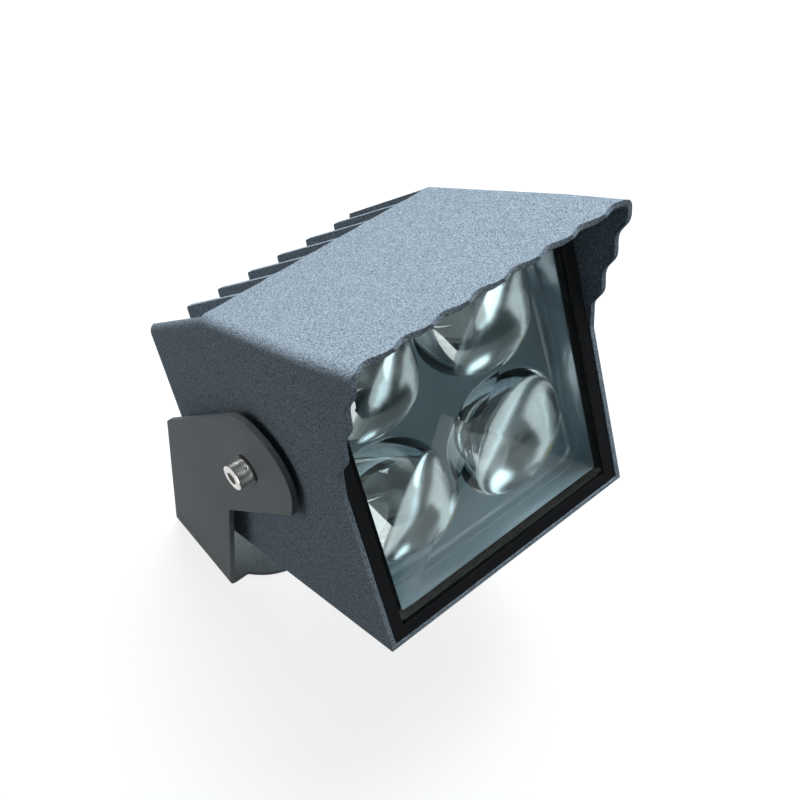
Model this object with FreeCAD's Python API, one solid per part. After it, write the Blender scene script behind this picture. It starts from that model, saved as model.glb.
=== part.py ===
import FreeCAD, Part
import math
import os

# Outdoor spotlight: finned die-cast head with a scalloped hood, four reflector
# cups behind a glass front, carried by a U bracket and clamped by two screws.
# All sizes are millimetres. The whole part stands with +Z up, +X to its right
# and its front towards -Y. The origin is the middle of the bracket's foot face.
# The head is drawn in its own frame first: origin in the middle of the bottom
# edge of the front rim, y to the rear, z up. place_head() then tilts it.

# Head casting
head_width = 150.0
front_height = 160.0
side_taper_deg = 3.0
wall = 2.65
top_slope_deg = 8.1
knee_y = 92.0
rear_top_y = 168.0
rear_top_z = 117.0
rear_bottom_y = 180.0
rear_bottom_z = -17.0
rear_top_round = 5.0
rear_bottom_round = 16.0
front_bottom_round = 1.2
top_edge_round = 5.0
base_wall = 6.0

# Hood
hood_reach = 34.0
hood_start_z = 90.0
side_wave_start_y = 3.5
side_wave_start_z = 104.0
side_wave_count = 3
wave_depth = 3.5
side_wave_depth = 2.5
wave_samples = 12

# Cooling fins
fin_count = 6
fin_pitch = 18.75
fin_thickness = 2.6
fin_rear_inset = 12.0
fin_bottom_inset = 4.0
slot_end_depth = 1.8

# Glass, its edge seal and its printed border
glass_recess = 1.5
glass_thickness = 4.0
seal_lip = 5.0
seal_skin = 1.0
seal_clearance = 0.2
border_side = 12.9
border_bottom = 14.1
border_skin = 0.15

# Reflector tray
window_mid_z = 78.4
tray_skin = 1.2
tray_flange_thickness = 2.0
tray_flange_gap = 0.5
tray_ledge_y = 24.0
tray_ledge_width = 1.2
tray_floor_y = 31.3
tray_floor_thickness = 2.0
tray_corner = 7.0
tray_window_corner = 1.5
tray_foot_round = 3.0
tray_rim_round = 1.0

# Optics: a grid of domed lenses and mirror cups, each over one light-emitting chip
optic_columns = 2
optic_rows = 2
optic_mid_z = 79.8
optic_pitch_x = 61.0
optic_pitch_z = 62.0
opening_r = 29.3
lens_r = 29.2
lens_rim = 1.4
lens_height = 20.0
cup_mouth_r = 28.5
cup_throat_r = 10.0
cup_depth = 37.05
cup_skin = 1.2
cup_collar_r = 13.0
cup_collar_hole_r = 11.5
chip_size = 13.5
chip_height = 1.5
chip_dam_r = 5.6
chip_dam_height = 0.5
cup_step = 0.4
chip_clearance = 0.2

# Circuit board
board_width = 112.0
board_height = 134.0
board_thickness = 2.0
board_round = 5.0
board_screw_x = 51.0
board_screw_z = 60.0

# Small screws: pan heads on board, driver and rear cover, countersunk on the tray
small_screw_r = 1.5
small_head_r = 2.8
small_head_height = 2.0
small_screw_grip = 6.0
cover_screw_grip = 10.0
small_drive_r = 1.1
small_drive_depth = 1.0
small_hole_clearance = 0.05

# Posts that carry the tray's flange
post_r = 4.0
post_side_inset = 7.3
post_end_inset = 7.6

# Power compartment at the rear
box_width = 76.0
box_bottom_z = 10.0
box_top_z = 90.0
box_depth = 45.0
box_wall = 4.0
box_post = 8.0
box_round = 5.0
cover_thickness = 3.0
cover_seal_thickness = 1.2
cover_rib_height = 2.0
cover_rib_width = 3.0
cover_rib_count = 3
driver_width = 58.0
driver_height = 50.0
driver_depth = 34.0
driver_round = 3.0
driver_lug = 6.0
driver_lug_thickness = 2.5
driver_lug_round = 2.0
wire_hole_r = 4.5
wire_r = 1.1
wire_bend = 5.0

# Cable gland
gland_z = 27.0
gland_thread_r = 6.0
gland_bore_r = 4.0
gland_hex_across = 18.0
gland_hex_thickness = 4.0
gland_collar_length = 6.0
gland_nut_length = 10.0
gland_nut_across = 17.0
gland_seal_r = 4.9
gland_seal_bore_r = 2.6
gland_lock_nut_thickness = 3.0
gland_clearance = 0.1

# Tilt joint
pivot_y = 77.2
pivot_z = 74.3
tilt_deg = 29.5
arm_gap = 1.0
pivot_boss_r = 14.0
inner_boss_r = 9.0
inner_boss_length = 13.0
bolt_r = 4.0
bolt_head_r = 6.5
bolt_head_height = 8.0
bolt_hex_across = 6.0
bolt_hex_depth = 4.0
bolt_engagement = 12.0
bolt_chamfer = 0.5
thread_clearance = 0.03
pivot_clearance = 0.08
washer_r = 7.4
washer_thickness = 1.0

# U bracket
plate = 3.0
bend_round = 4.5
pivot_height = 152.0
foot_depth = 53.0
foot_centre_back = 42.0
arm_shoulder_drop = 44.5
arm_top_rise = 36.0
arm_front_reach = 33.0
arm_slope_deg = 53.0
arm_shoulder_round = 6.0
arm_crown_round = 25.0
arm_nose_round = 24.0
arm_chin_round = 5.0
arm_crotch_round = 0.8
pad_round = 40.0
pad_centre_x = 37.0
pad_notch_round = 3.0
foot_hole_r = 6.25
foot_side_hole_r = 4.25
foot_side_hole_x = 35.0

# Derived values
far = 400.0
side_slope = math.tan(math.radians(side_taper_deg))
top_slope = math.tan(math.radians(top_slope_deg))
bottom_slope = rear_bottom_z / rear_bottom_y
knee_z = front_height - top_slope * knee_y
crown_slope = (knee_z - rear_top_z) / (rear_top_y - knee_y)
inner_round = max(top_edge_round - wall, 1.0)
glass_y = glass_recess
glass_back_y = glass_y + glass_thickness
flange_y = glass_back_y + seal_skin
post_top_y = flange_y + tray_flange_thickness
window_half_x = head_width / 2 - border_side
window_half_z = window_mid_z - border_bottom
cup_front_y = tray_floor_y + tray_floor_thickness
board_y = cup_front_y + cup_depth + chip_height + chip_dam_height
base_front_y = board_y + board_thickness
base_back_y = base_front_y + base_wall
box_back_y = base_back_y + box_depth
cover_y = box_back_y + cover_seal_thickness
cover_back_y = cover_y + cover_thickness
cup_focus = (cup_mouth_r ** 2 - cup_throat_r ** 2) / (4 * cup_depth)
arm_inner_x = head_width / 2 + arm_gap
arm_outer_x = arm_inner_x + plate


def vec(x, y, z):
    return FreeCAD.Vector(x, y, z)


def half_width(y):
    """Half the head's width at a depth; the hood in front is straight."""
    return head_width / 2 - side_slope * max(y, 0.0)


def top_z(y):
    """Height of the roof's outer face in front of the knee."""
    return front_height - top_slope * y


def bottom_z(y):
    return bottom_slope * y


def rounded_outline(corners, radii):
    """Closed list of edges through flat corners, each rounded by its radius."""
    points = [vec(*corner) for corner in corners]
    count = len(points)
    starts = []
    ends = []
    middles = []
    for index in range(count):
        here = points[index]
        before = (points[index - 1] - here).normalize()
        after = (points[(index + 1) % count] - here).normalize()
        turn = math.pi - before.getAngle(after)
        reach = radii[index] * math.tan(turn / 2)
        starts.append(here + before * reach)
        ends.append(here + after * reach)
        inward = before + after
        if radii[index] > 0:
            inward.normalize()
            centre_gap = radii[index] / math.cos(turn / 2)
            middles.append(here + inward * (centre_gap - radii[index]))
        else:
            middles.append(here)
    edges = []
    for index in range(count):
        following = (index + 1) % count
        if radii[index] > 0:
            edges.append(Part.Arc(starts[index], middles[index], ends[index]).toShape())
        if (starts[following] - ends[index]).Length > 1e-6:
            edges.append(Part.LineSegment(ends[index], starts[following]).toShape())
    return Part.Wire(edges)


def solid_from(wire, direction):
    return Part.Face(wire).extrude(direction)


def side_prism(corners, radii, x_from, x_to):
    """Solid with a (y, z) outline, drawn out along X."""
    wire = rounded_outline([(x_from, y, z) for y, z in corners], radii)
    return solid_from(wire, vec(x_to - x_from, 0, 0))


def plan_prism(corners, radii, z_from, z_to):
    """Solid with an (x, y) outline, drawn up along Z."""
    wire = rounded_outline([(x, y, z_from) for x, y in corners], radii)
    return solid_from(wire, vec(0, 0, z_to - z_from))


def front_prism(half_x, z_from, z_to, radius, y_from, y_to):
    """Rounded rectangle seen from the front, drawn back along Y."""
    corners = [(-half_x, y_from, z_from), (half_x, y_from, z_from)]
    corners += [(half_x, y_from, z_to), (-half_x, y_from, z_to)]
    wire = rounded_outline(corners, [radius] * 4)
    return solid_from(wire, vec(0, y_to - y_from, 0))


def block(x_from, x_to, y_from, y_to, z_from, z_to):
    return Part.makeBox(x_to - x_from, y_to - y_from, z_to - z_from, vec(x_from, y_from, z_from))


def rod_y(radius, x, z, y_from, y_to):
    return Part.makeCylinder(radius, y_to - y_from, vec(x, y_from, z), vec(0, 1, 0))


def rod_x(radius, y, z, x_from, x_to):
    direction = vec(1, 0, 0) if x_to > x_from else vec(-1, 0, 0)
    return Part.makeCylinder(radius, abs(x_to - x_from), vec(x_from, y, z), direction)


def rod_z(radius, x, y, z_from, z_to):
    return Part.makeCylinder(radius, z_to - z_from, vec(x, y, z_from), vec(0, 0, 1))


def hexagon(across, length, base, direction):
    """Hexagonal bar between flats, standing on a base point."""
    corner_r = across / math.sqrt(3)
    corners = []
    for index in range(6):
        angle = math.radians(60 * index)
        corners.append(vec(corner_r * math.cos(angle), corner_r * math.sin(angle), 0))
    bar = Part.Face(Part.makePolygon(corners + corners[:1])).extrude(vec(0, 0, length))
    bar.Placement = FreeCAD.Placement(base, FreeCAD.Rotation(vec(0, 0, 1), direction))
    return bar


def fuse_all(shapes):
    return shapes[0].multiFuse(shapes[1:]).removeSplitter()


def round_edges(shape, radius, wanted):
    """Fillet the edges that a test picks."""
    edges = [edge for edge in shape.Edges if wanted(edge)]
    return shape.makeFillet(radius, edges)


def wave_edge(start, end, bulge, count):
    """One smooth wavy edge from start to end, with valleys at its two ends."""
    steps = wave_samples * count
    points = []
    for index in range(steps + 1):
        share = index / steps
        rise = (1 - math.cos(2 * math.pi * count * share)) / 2
        points.append(start + (end - start) * share + bulge * rise)
    curve = Part.BSplineCurve()
    curve.interpolate(points)
    return curve.toShape()


def spread(count, pitch):
    """Evenly pitched places about zero."""
    return [(index - (count - 1) / 2) * pitch for index in range(count)]


# Head casting


def head_outline(hood_tip_y):
    """Side outline of the head with an uncut hood, and its corner radii."""
    corners = [
        (0, 0),
        (0, hood_start_z),
        (hood_tip_y, hood_start_z + 20),
        (hood_tip_y, top_z(hood_tip_y)),
        (knee_y, knee_z),
        (rear_top_y, rear_top_z),
        (rear_bottom_y, rear_bottom_z),
    ]
    radii = [front_bottom_round, 0, 0, 0, 0, rear_top_round, rear_bottom_round]
    return corners, radii


def plan_body(inset, y_from, y_to):
    """Tapered plan of the head, inset evenly from the side faces."""
    front = half_width(y_from) - inset
    rear = half_width(y_to) - inset
    corners = [(-front, y_from), (front, y_from)]
    if y_from < 0:
        corners.append((half_width(0) - inset, 0))
    corners += [(rear, y_to), (-rear, y_to)]
    if y_from < 0:
        corners.append((inset - half_width(0), 0))
    return plan_prism(corners, [0] * len(corners), -far / 2, far)


def along_roof(edge):
    """True for the long edges where the roof meets the two sides."""
    middle = edge.CenterOfMass
    crown = min(top_z(middle.y), knee_z - crown_slope * (middle.y - knee_y))
    near_side = abs(abs(middle.x) - half_width(middle.y)) < 0.3
    return near_side and abs(middle.z - crown) < 0.3 and edge.Length > 20


def outer_body():
    tip_y = -hood_reach - 2 * wave_depth
    corners, radii = head_outline(tip_y)
    body = side_prism(corners, [0] * len(corners), -far, far)
    body = body.common(plan_body(0, tip_y - 1, rear_bottom_y + 1))
    body = round_edges(body, top_edge_round, along_roof)
    return body.common(side_prism(corners, radii, -far, far))


def front_hollow():
    """Space inside the rim and under the hood, back to the base wall."""
    y_open = -hood_reach - 60
    corners = [
        (y_open, bottom_z(y_open) + wall),
        (base_front_y, bottom_z(base_front_y) + wall),
        (base_front_y, top_z(base_front_y) - wall),
        (y_open, top_z(y_open) - wall),
    ]
    hollow = side_prism(corners, [0] * 4, -far, far).common(plan_body(wall, y_open, base_front_y))

    def under_roof(edge):
        middle = edge.CenterOfMass
        near_side = abs(abs(middle.x) - half_width(middle.y) + wall) < 0.3
        return near_side and abs(middle.z - top_z(middle.y) + wall) < 0.3 and edge.Length > 20

    return round_edges(hollow, inner_round, under_roof)


def rear_hollow():
    """Space between the side plates behind the base wall, open below and behind."""
    beyond = rear_bottom_y + 20
    roof_end = knee_y + slot_end_depth
    corners = [
        (base_back_y, -far / 4),
        (base_back_y, top_z(base_back_y) - wall),
        (roof_end, top_z(roof_end) - wall),
        (roof_end, far / 2),
        (beyond, far / 2),
        (beyond, -far / 4),
    ]
    return side_prism(corners, [0] * 6, -far, far).common(plan_body(wall, base_back_y - 1, beyond))


def slot_ends():
    """Curved fronts of the open slots between the fins."""
    half_gap = (fin_pitch - fin_thickness) / 2
    radius = (half_gap ** 2 + slot_end_depth ** 2) / (2 * slot_end_depth)
    low = knee_z - 4 * wall
    high = knee_z + 4 * wall
    roof_end = block(-far, far, knee_y - slot_end_depth, knee_y + slot_end_depth, low, high)
    cutters = []
    for x in spread(fin_count + 1, fin_pitch):
        cutters.append(rod_z(radius, x, knee_y + radius, low, high).common(roof_end))
    return cutters


def cooling_fins():
    """Parallel fins behind the base wall, set in from the side plates' rear edge."""
    corners = [
        (base_front_y, bottom_z(base_front_y) + fin_bottom_inset),
        (base_front_y, top_z(base_front_y) - wall / 2),
        (knee_y, knee_z - wall / 2),
        (knee_y, knee_z),
        (rear_top_y - fin_rear_inset, knee_z - crown_slope * (rear_top_y - fin_rear_inset - knee_y)),
        (rear_bottom_y - fin_rear_inset, bottom_z(rear_bottom_y) + fin_bottom_inset),
    ]
    radii = [0, 0, 0, 0, rear_top_round / 2, rear_bottom_round]
    fins = []
    for x in spread(fin_count, fin_pitch):
        fins.append(side_prism(corners, radii, x - fin_thickness / 2, x + fin_thickness / 2))
    return fins


def post_places():
    """Where the flange posts stand, seen from the front."""
    x = half_width(post_top_y) - post_side_inset
    low = bottom_z(0) + post_end_inset
    high = top_z(post_top_y) - post_end_inset
    return [(-x, low), (x, low), (-x, high), (x, high)]


def flange_posts(body):
    """Posts from the base wall to the tray's flange, trimmed where they run into the roof."""
    return [rod_y(post_r, x, z, post_top_y, base_front_y).common(body) for x, z in post_places()]


def board_screw_places():
    heights = (window_mid_z - board_screw_z, window_mid_z + board_screw_z)
    return [(x, z) for x in (-board_screw_x, board_screw_x) for z in heights]


def cover_screw_places():
    x = box_width / 2 - box_post / 2
    heights = (box_bottom_z + box_post / 2, box_top_z - box_post / 2)
    return [(side * x, z) for side in (-1, 1) for z in heights]


def power_box():
    return front_prism(box_width / 2, box_bottom_z, box_top_z, box_round, base_front_y, box_back_y)


def power_box_hollow():
    """Inside of the power compartment, with its four screw posts left standing."""
    hollow = front_prism(
        box_width / 2 - box_wall,
        box_bottom_z + box_wall,
        box_top_z - box_wall,
        box_round / 2,
        base_back_y,
        cover_y,
    )
    half = box_post / 2
    for x, z in cover_screw_places():
        hollow = hollow.cut(block(x - half, x + half, base_back_y, cover_y, z - half, z + half))
    return hollow


def box_clearance():
    """Fins stop behind the power compartment so that its cover can come off."""
    margin = box_wall
    return block(
        -box_width / 2 - margin,
        box_width / 2 + margin,
        box_back_y,
        rear_bottom_y,
        -far / 4,
        box_top_z + margin,
    )


def pivot_bosses():
    bosses = []
    for side in (-1, 1):
        surface = half_width(pivot_y)
        inner_end = surface - inner_boss_length
        bosses.append(rod_x(pivot_boss_r, pivot_y, pivot_z, side * (surface - wall), side * arm_inner_x))
        bosses.append(rod_x(inner_boss_r, pivot_y, pivot_z, side * inner_end, side * surface))
    return bosses


def pivot_holes():
    radius = bolt_r + thread_clearance
    hole_end = arm_inner_x - bolt_engagement - 1
    return [rod_x(radius, pivot_y, pivot_z, side * hole_end, side * arm_outer_x) for side in (-1, 1)]


def small_holes(places, y_from, y_to):
    radius = small_screw_r + small_hole_clearance
    return [rod_y(radius, x, z, y_from, y_to) for x, z in places]


def closed_by(edge, points):
    """Close an edge through further points into one wire."""
    lines = [Part.LineSegment(points[i], points[i + 1]).toShape() for i in range(len(points) - 1)]
    return Part.Wire([edge] + lines)


def hood_side_cut():
    """Everything in front of the lobed side edges of the hood."""
    tip_y = -hood_reach - wave_depth
    start = vec(-far, -side_wave_start_y, side_wave_start_z)
    end = vec(-far, tip_y, top_z(tip_y))
    run = end - start
    bulge = vec(0, -run.z, run.y).normalize() * side_wave_depth
    edge = wave_edge(start, end, bulge, side_wave_count)
    above = end.z + far
    beyond = -far
    corners = [
        end,
        vec(-far, tip_y, above),
        vec(-far, beyond, above),
        vec(-far, beyond, hood_start_z),
        vec(-far, 0, hood_start_z),
        start,
    ]
    return solid_from(closed_by(edge, corners), vec(2 * far, 0, 0))


def hood_top_cut():
    """Everything in front of the lobed top edge of the hood."""
    count = round(head_width / fin_pitch) + 1
    half_run = count * fin_pitch / 2
    base = top_z(-hood_reach) - 2 * top_edge_round
    start = vec(-half_run, -hood_reach, base)
    end = vec(half_run, -hood_reach, base)
    edge = wave_edge(start, end, vec(0, -wave_depth, 0), count)
    corners = [end, vec(half_run, -far, base), vec(-half_run, -far, base), start]
    return solid_from(closed_by(edge, corners), vec(0, 0, far))


def make_housing():
    body = outer_body()
    shell = body.cut(front_hollow())
    shell = shell.cut(rear_hollow())
    shell = shell.cut([hood_side_cut(), hood_top_cut()])
    shell = shell.cut(slot_ends())
    fins = [fin.cut(box_clearance()) for fin in cooling_fins()]
    shell = fuse_all([shell, power_box()] + fins + flange_posts(body) + pivot_bosses())
    cutters = [power_box_hollow()] + pivot_holes()
    cutters.append(rod_y(wire_hole_r, 0, window_mid_z, base_front_y - 1, base_back_y + 1))
    cutters += small_holes(board_screw_places(), base_front_y - 1, board_y + small_screw_grip + 0.5)
    cutters += small_holes(post_places(), post_top_y - 1, flange_y + small_screw_grip + 1)
    cutters += small_holes(cover_screw_places(), cover_back_y - cover_screw_grip - 1, box_back_y + 1)
    driver_hole_end = base_back_y + driver_lug_thickness - small_screw_grip - 0.5
    cutters += small_holes(driver_screw_places(), driver_hole_end, base_back_y + 1)
    return shell.cut(cutters).removeSplitter()


# Glass and its seal


def glass_edges():
    """Half width, bottom and top of the glass inside its edge seal."""
    reach = seal_clearance + seal_skin
    half_x = half_width(flange_y) - wall - reach
    low = bottom_z(0) + wall + reach
    high = top_z(flange_y) - wall - reach
    return half_x, low, high


def make_glass():
    half_x, low, high = glass_edges()
    return front_prism(half_x, low, high, inner_round - seal_skin, glass_y, glass_back_y)


def make_glass_border():
    half_x, low, high = glass_edges()
    lip = seal_lip
    border_back = glass_back_y + border_skin
    outer = front_prism(half_x - lip, low + lip, high - lip, seal_skin, glass_back_y, border_back)
    window = front_prism(
        window_half_x,
        window_mid_z - window_half_z,
        window_mid_z + window_half_z,
        tray_window_corner,
        glass_back_y - 1,
        glass_back_y + 1,
    )
    return outer.cut(window)


def make_glass_seal():
    """Rubber channel around the glass edge."""
    half_x, low, high = glass_edges()
    skin = seal_skin
    front = glass_y - skin
    back = glass_back_y + skin
    outer = front_prism(half_x + skin, low - skin, high + skin, inner_round, front, back)
    lip = seal_lip
    mouth = front_prism(half_x - lip, low + lip, high - lip, skin, front - 1, back + 1)
    return outer.cut([make_glass(), mouth])


# Reflector tray and optics


def optic_places():
    heights = [optic_mid_z + z for z in spread(optic_rows, optic_pitch_z)]
    return [(x, z) for z in heights for x in spread(optic_columns, optic_pitch_x)]


def window_prism(grow, corner, y_from, y_to):
    return front_prism(
        window_half_x + grow,
        window_mid_z - window_half_z - grow,
        window_mid_z + window_half_z + grow,
        corner,
        y_from,
        y_to,
    )


def make_tray():
    """Moulded tray: flange behind the glass, straight walls, ledge, floor with cup openings."""
    half_x = half_width(post_top_y) - wall - tray_flange_gap
    low = bottom_z(0) + wall + tray_flange_gap
    high = top_z(post_top_y) - wall - tray_flange_gap
    flange = front_prism(half_x, low, high, inner_round, flange_y, post_top_y)
    floor_back = tray_floor_y + tray_floor_thickness
    body = window_prism(tray_skin, tray_window_corner + tray_skin, flange_y, floor_back)
    upper = window_prism(0, tray_window_corner, flange_y - 1, tray_ledge_y)
    lower = window_prism(-tray_ledge_width, tray_corner, tray_ledge_y - 1, tray_floor_y)
    foot = [edge for edge in lower.Edges if abs(edge.CenterOfMass.y - tray_floor_y) < 1e-6]
    lower = lower.makeFillet(tray_foot_round, foot)
    openings = [rod_y(opening_r, x, z, tray_floor_y - 1, floor_back + 1) for x, z in optic_places()]
    tray = flange.fuse(body).cut([upper, lower] + openings)

    def opening_rim(edge):
        is_circle = isinstance(edge.Curve, Part.Circle) and abs(edge.Curve.Radius - opening_r) < 1e-6
        return is_circle and abs(edge.CenterOfMass.y - tray_floor_y) < 0.01

    tray = round_edges(tray.removeSplitter(), tray_rim_round, opening_rim)
    sinks = [head_cone(x, z, small_hole_clearance) for x, z in post_places()]
    return tray.cut(small_holes(post_places(), flange_y - 1, post_top_y + 1) + sinks)


def parabola_radius(depth, offset):
    """Cup radius at a depth behind the mouth, thickened by an offset."""
    inner = math.sqrt(max(cup_mouth_r ** 2 - 4 * cup_focus * depth, 0.0))
    return inner + offset


def cup_curve(offset, steps):
    points = []
    for index in range(steps + 1):
        depth = cup_depth * index / steps
        points.append(vec(parabola_radius(depth, offset), depth, 0))
    curve = Part.BSplineCurve()
    curve.interpolate(points)
    return curve.toShape(), points[0], points[-1]


def make_cup():
    """Mirror cup in its own frame: axis +Y from its mouth, collar standing on the board."""
    inner, mouth_in, throat_in = cup_curve(0.0, 8)
    outer, mouth_out, throat_out = cup_curve(cup_skin, 8)
    foot_y = cup_depth + chip_height + chip_dam_height
    step_y = cup_depth + cup_step
    path = [
        throat_in,
        vec(cup_throat_r, step_y, 0),
        vec(cup_collar_hole_r, step_y, 0),
        vec(cup_collar_hole_r, foot_y, 0),
        vec(cup_collar_r, foot_y, 0),
        vec(cup_collar_r, cup_depth, 0),
        throat_out,
    ]
    edges = [inner]
    edges += [Part.LineSegment(path[i], path[i + 1]).toShape() for i in range(len(path) - 1)]
    edges += [outer, Part.LineSegment(mouth_out, mouth_in).toShape()]
    face = Part.Face(Part.Wire(Part.__sortEdges__(edges)))
    return face.revolve(vec(0, 0, 0), vec(0, 1, 0), 360)


def make_lens():
    """Domed lens in its own frame: its flat back rests on the cup's mouth, its dome faces -Y."""
    ball_r = (lens_r ** 2 + lens_height ** 2) / (2 * lens_height)
    ball = Part.makeSphere(ball_r, vec(0, ball_r - lens_height - lens_rim, 0))
    dome = ball.common(rod_y(lens_r + 1, 0, 0, -lens_height - lens_rim - 1, -lens_rim))
    return dome.fuse(rod_y(lens_r, 0, 0, -lens_rim, 0)).removeSplitter()


def make_chip(x, z):
    """Square chip carrier with a round dam around its light-emitting field."""
    half = chip_size / 2
    carrier = block(x - half, x + half, board_y - chip_height, board_y, z - half, z + half)
    carrier_y = board_y - chip_height
    dam = rod_y(chip_dam_r, x, z, carrier_y - chip_dam_height + chip_clearance, carrier_y)
    return carrier.fuse(dam)


def make_board():
    low = window_mid_z - board_height / 2
    board = front_prism(board_width / 2, low, low + board_height, board_round, board_y, base_front_y)
    cutters = small_holes(board_screw_places(), board_y - 1, base_front_y + 1)
    cutters.append(rod_y(wire_hole_r, 0, window_mid_z, board_y - 1, base_front_y + 1))
    return board.cut(cutters)


# Screws and wires


def span_y(radius, x, z, y_one, y_two):
    """Rod along Y between two depths given in either order."""
    return rod_y(radius, x, z, min(y_one, y_two), max(y_one, y_two))


def pan_screw(x, z, y_seat, direction, grip):
    """Pan-head screw; its shank runs from the seat along Y by its direction's sign."""
    top_y = y_seat - direction * small_head_height
    head = span_y(small_head_r, x, z, y_seat, top_y)
    head = round_edges(head, small_head_height / 3, lambda edge: abs(edge.CenterOfMass.y - top_y) < 1e-6)
    shank = span_y(small_screw_r, x, z, y_seat, y_seat + direction * grip)
    drive = hexagon(2 * small_drive_r, small_drive_depth, vec(x, top_y, z), vec(0, direction, 0))
    return head.fuse(shank).cut(drive)


def pan_screws(places, y_seat, direction, grip):
    return Part.makeCompound([pan_screw(x, z, y_seat, direction, grip) for x, z in places])


def head_cone(x, z, grow):
    """Cone of a countersunk head that ends flush with the tray's flange."""
    height = small_head_r - small_screw_r
    base = vec(x, flange_y, z)
    return Part.makeCone(small_head_r + grow, small_screw_r + grow, height, base, vec(0, 1, 0))


def make_tray_screws():
    """Countersunk screws through the tray's flange, under the glass seal."""
    screws = []
    for x, z in post_places():
        shank = rod_y(small_screw_r, x, z, flange_y, flange_y + small_screw_grip)
        drive = hexagon(2 * small_drive_r, small_drive_depth, vec(x, flange_y, z), vec(0, 1, 0))
        screws.append(head_cone(x, z, 0.0).fuse(shank).cut(drive))
    return Part.makeCompound(screws)


def make_wires():
    """Two leads from the board's middle through the base wall, bent down onto the driver."""
    driver_top = driver_frame()[1]
    bend_y = base_back_y + 2 * wire_bend
    halfway = math.sqrt(0.5)
    wires = []
    for side in (-1, 1):
        x = side * (wire_hole_r - wire_r - small_hole_clearance)
        start = vec(x, board_y, window_mid_z)
        bend_start = vec(x, bend_y, window_mid_z)
        bend_middle = vec(x, bend_y + wire_bend * halfway, window_mid_z - wire_bend * (1 - halfway))
        bend_end = vec(x, bend_y + wire_bend, window_mid_z - wire_bend)
        path = [
            Part.LineSegment(start, bend_start).toShape(),
            Part.Arc(bend_start, bend_middle, bend_end).toShape(),
        ]
        if bend_end.z - driver_top > 0.01:
            path.append(Part.LineSegment(bend_end, vec(x, bend_end.y, driver_top)).toShape())
        section = Part.Wire(Part.makeCircle(wire_r, start, vec(0, 1, 0)))
        wires.append(Part.Wire(path).makePipeShell([section], True, False))
    return Part.makeCompound(wires)


# Power compartment


def driver_frame():
    """Bottom and top of the driver inside its compartment."""
    low = box_bottom_z + box_wall + box_post + 1
    return low, low + driver_height


def driver_screw_places():
    low, high = driver_frame()
    middle = (low + high) / 2
    x = driver_width / 2 - driver_lug / 2
    return [(-x, middle), (x, middle)]


def make_driver():
    """Sealed power supply with a lug at each side, screwed to the base wall."""
    low, high = driver_frame()
    half = driver_width / 2
    body = front_prism(half - driver_lug, low, high, driver_round, base_back_y, base_back_y + driver_depth)
    middle = (low + high) / 2
    lug_back = base_back_y + driver_lug_thickness
    lug_low = middle - driver_lug
    lugs = front_prism(half, lug_low, middle + driver_lug, driver_lug_round, base_back_y, lug_back)
    return body.fuse(lugs).cut(small_holes(driver_screw_places(), base_back_y - 1, lug_back + 1))


def cover_plate(y_from, y_to):
    sheet = front_prism(box_width / 2, box_bottom_z, box_top_z, box_round, y_from, y_to)
    return sheet.cut(small_holes(cover_screw_places(), y_from - 1, y_to + 1))


def make_rear_cover():
    cover = cover_plate(cover_y, cover_back_y)
    ribs = []
    span = box_top_z - gland_z - gland_hex_across
    half_length = box_width / 2 - box_post - cover_rib_width
    rib_back = cover_back_y + cover_rib_height
    for index in range(cover_rib_count):
        low = gland_z + gland_hex_across - cover_rib_width / 2 + span * index / cover_rib_count
        ribs.append(block(-half_length, half_length, cover_back_y, rib_back, low, low + cover_rib_width))
    cover = fuse_all([cover] + ribs)
    return cover.cut(rod_y(gland_thread_r + gland_clearance, 0, gland_z, cover_y - 1, cover_back_y + 1))


def make_cover_seal():
    """Flat rubber frame between the compartment and its cover."""
    seal = cover_plate(box_back_y, cover_y)
    return seal.cut(power_box_hollow())


def make_gland_body():
    """Gland with its hex, the thread through the cover and the collar for the dome nut."""
    hex_start = cover_back_y
    hex_end = hex_start + gland_hex_thickness
    thread_start = cover_y - gland_lock_nut_thickness - 2
    body = hexagon(gland_hex_across, gland_hex_thickness, vec(0, hex_start, gland_z), vec(0, 1, 0))
    thread = rod_y(gland_thread_r, 0, gland_z, thread_start, hex_start)
    collar = rod_y(gland_thread_r, 0, gland_z, hex_end, hex_end + gland_collar_length)
    body = fuse_all([body, thread, collar])
    socket = rod_y(gland_seal_r, 0, gland_z, hex_end, hex_end + gland_collar_length + 1)
    return body.cut([rod_y(gland_bore_r, 0, gland_z, thread_start - 1, hex_end + 1), socket])


def make_gland_nut():
    start = cover_back_y + gland_hex_thickness
    nut = hexagon(gland_nut_across, gland_nut_length, vec(0, start, gland_z), vec(0, 1, 0))
    dome = Part.makeSphere(gland_nut_length + 1, vec(0, start, gland_z))
    nut = nut.common(dome)
    bore_end = start + gland_collar_length + gland_clearance
    bore = rod_y(gland_thread_r + gland_clearance, 0, gland_z, start - 1, bore_end)
    mouth = rod_y(gland_bore_r, 0, gland_z, start - 1, start + gland_nut_length + 1)
    return nut.cut([bore, mouth])


def make_gland_seal():
    start = cover_back_y + gland_hex_thickness
    end = start + gland_collar_length
    seal = rod_y(gland_seal_r - gland_clearance / 2, 0, gland_z, start, end)
    return seal.cut(rod_y(gland_seal_bore_r, 0, gland_z, start - 1, end + 1))


def make_gland_lock_nut():
    start = cover_y - gland_lock_nut_thickness
    nut = hexagon(gland_nut_across, gland_lock_nut_thickness, vec(0, start, gland_z), vec(0, 1, 0))
    return nut.cut(rod_y(gland_thread_r + gland_clearance, 0, gland_z, start - 1, cover_y + 1))


# Tilt joint


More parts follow.
